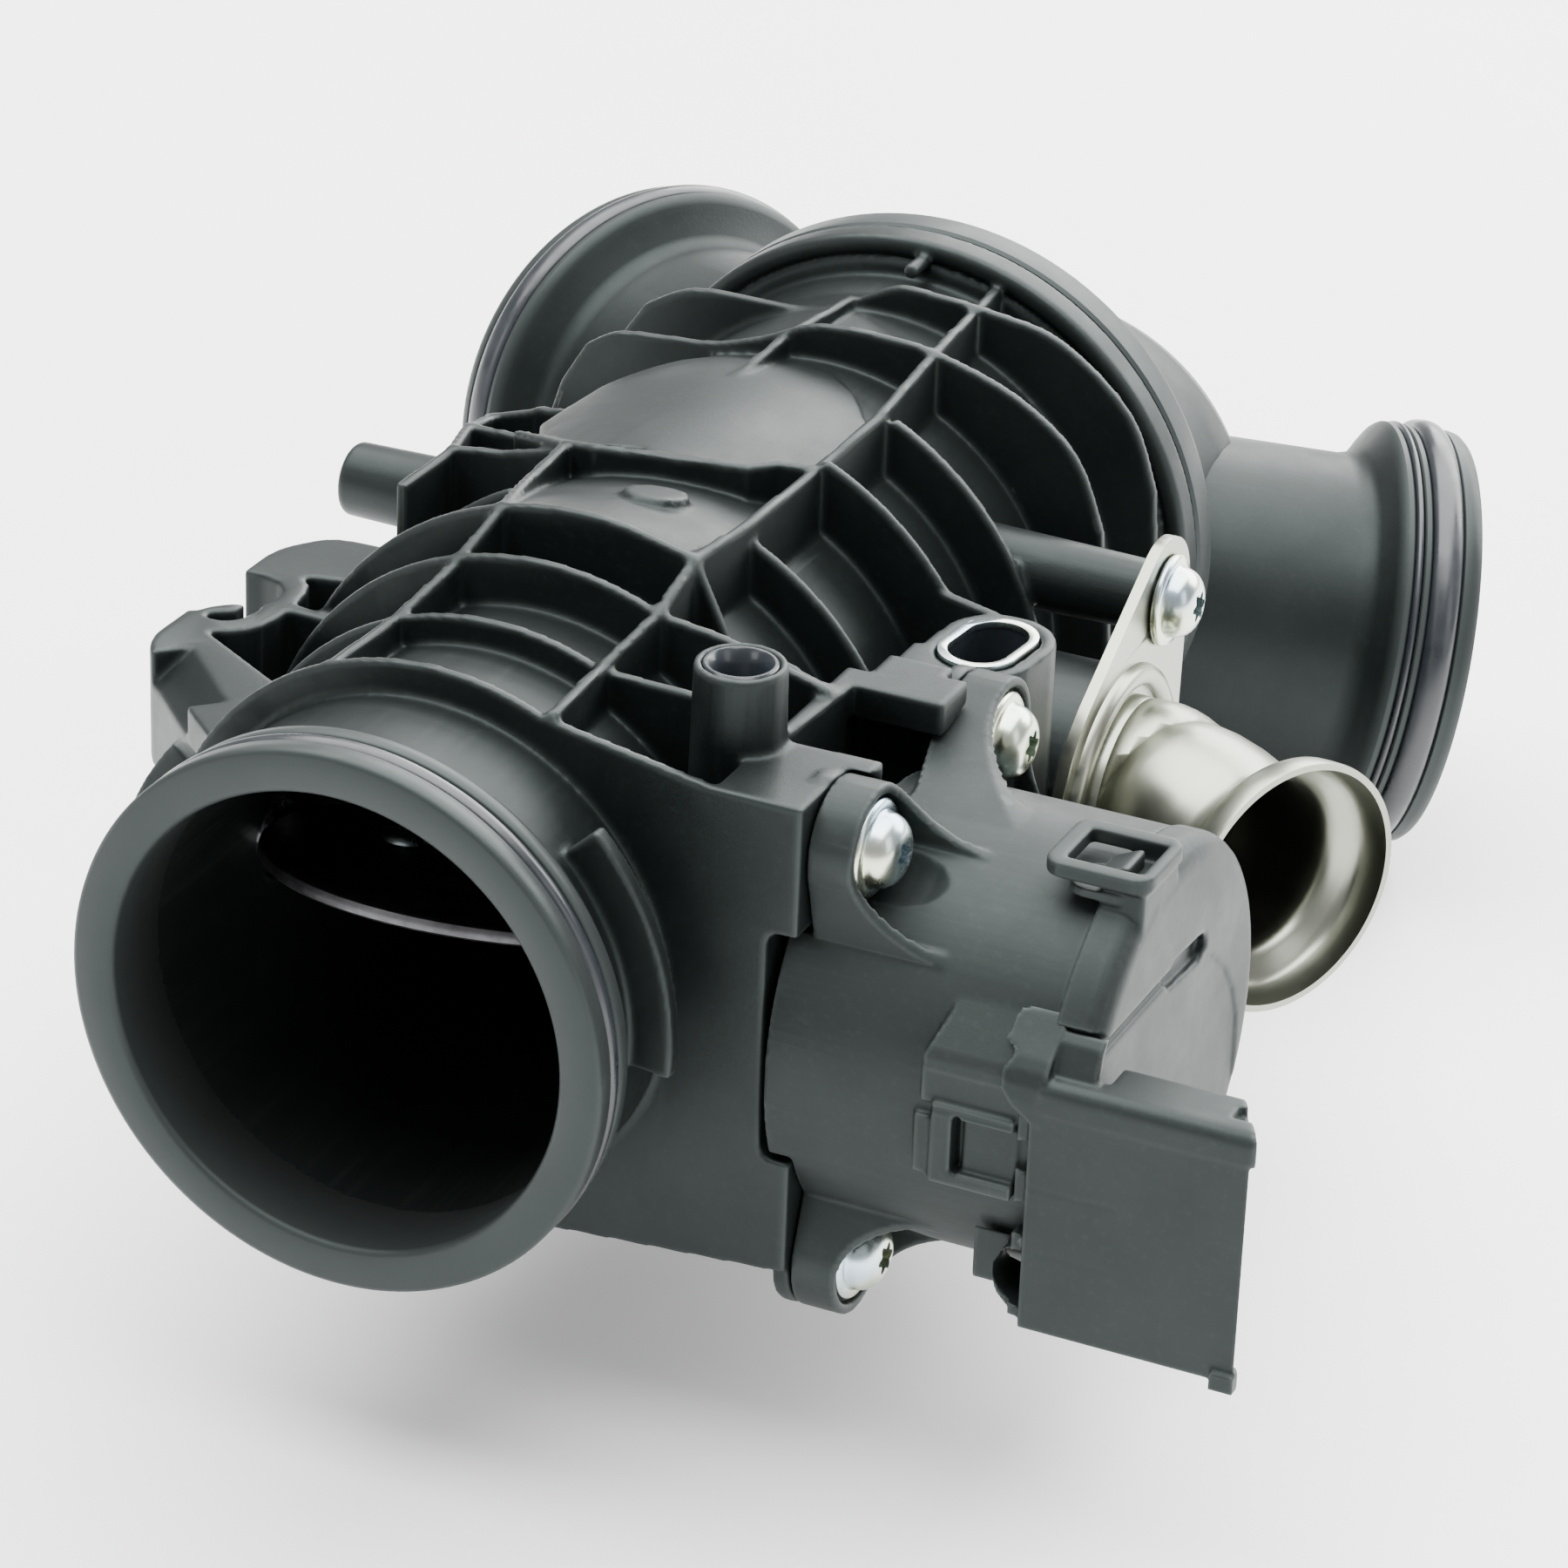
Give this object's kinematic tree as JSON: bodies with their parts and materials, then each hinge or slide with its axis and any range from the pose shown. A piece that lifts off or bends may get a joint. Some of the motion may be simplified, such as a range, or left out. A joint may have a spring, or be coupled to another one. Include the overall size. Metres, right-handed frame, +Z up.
{
  "type": "throttle body",
  "caption": "Electronic throttle body: ribbed air duct with a motor-driven butterfly plate, a gas inlet pipe and two rear outlet stubs.",
  "frame": {"origin": "centre of the inlet face", "axes": "+Y down the bore into the engine, +Z up towards the ribbed top, +X towards the actuator"},
  "size_m": [0.2048, 0.2739, 0.105],
  "materials": {
    "body_plastic": "moulded glass-filled nylon, fine grain",
    "actuator_plastic": "moulded plastic, semi-matt",
    "seal_rubber": "smooth, slightly oily",
    "zinc_steel": "bright zinc plating",
    "stainless": "drawn stainless tube with a straw tint",
    "machined_steel": "turned",
    "brass": "bright",
    "aluminium": "satin",
    "white_plastic": "acetal",
    "board_green": "circuit board"
  },
  "bodies": {
    "housing": {"main_housing": "body_plastic", "rear_distributor": "body_plastic", "actuator_case": "actuator_plastic", "actuator_cover": "actuator_plastic", "connector_shell": "actuator_plastic", "inlet_seal": "seal_rubber", "left_outlet_seal": "seal_rubber", "right_outlet_seal_outer": "seal_rubber", "right_outlet_seal_inner": "seal_rubber", "pipe_gasket": "seal_rubber", "shaft_seal": "seal_rubber", "slot_bush": "zinc_steel", "actuator_screw_1": "zinc_steel", "actuator_screw_2": "zinc_steel", "actuator_screw_3": "zinc_steel", "actuator_screw_4": "zinc_steel", "pipe_screw_upper": "zinc_steel", "pipe_screw_lower": "zinc_steel", "drive_motor": "zinc_steel", "pipe_flange": "stainless", "elbow_pipe": "stainless", "boss_insert": "machined_steel", "idler_axle": "machined_steel", "return_spring": "machined_steel", "terminal_1": "brass", "terminal_2": "brass", "terminal_3": "brass", "terminal_4": "brass", "terminal_5": "brass", "shaft_bush_left": "brass", "shaft_bush_right": "brass", "shaft_plug": "aluminium", "position_sensor": "board_green"},
    "throttle": {"throttle_shaft": "machined_steel", "throttle_plate": "aluminium", "plate_screw_1": "zinc_steel", "plate_screw_2": "zinc_steel", "sector_gear": "white_plastic"},
    "idler": {"idler_gear": "white_plastic"},
    "pinion": {"motor_pinion": "brass"}
  },
  "joints": [
    {"name": "throttle_turn", "type": "hinge", "parent": "housing", "child": "throttle", "pos_m": [0, 0.042, 0], "axis": [-1, 0, 0], "range_deg": [-12, 71], "stiffness_Nm_per_rad": 0.03},
    {"name": "idler_turn", "type": "hinge", "parent": "housing", "child": "idler", "pos_m": [0.0736, 0.04881, -0.01774], "axis": [-1, 0, 0], "range_deg": [-200, 35]},
    {"name": "pinion_turn", "type": "hinge", "parent": "housing", "child": "pinion", "pos_m": [0.0734, 0.061, -0.009], "axis": [-1, 0, 0], "range_deg": [-80, 466]}
  ],
  "couplings": [
    {"joint": "idler_turn", "follows": "throttle_turn", "ratio": -2.8},
    {"joint": "pinion_turn", "follows": "throttle_turn", "ratio": 6.5333}
  ]
}
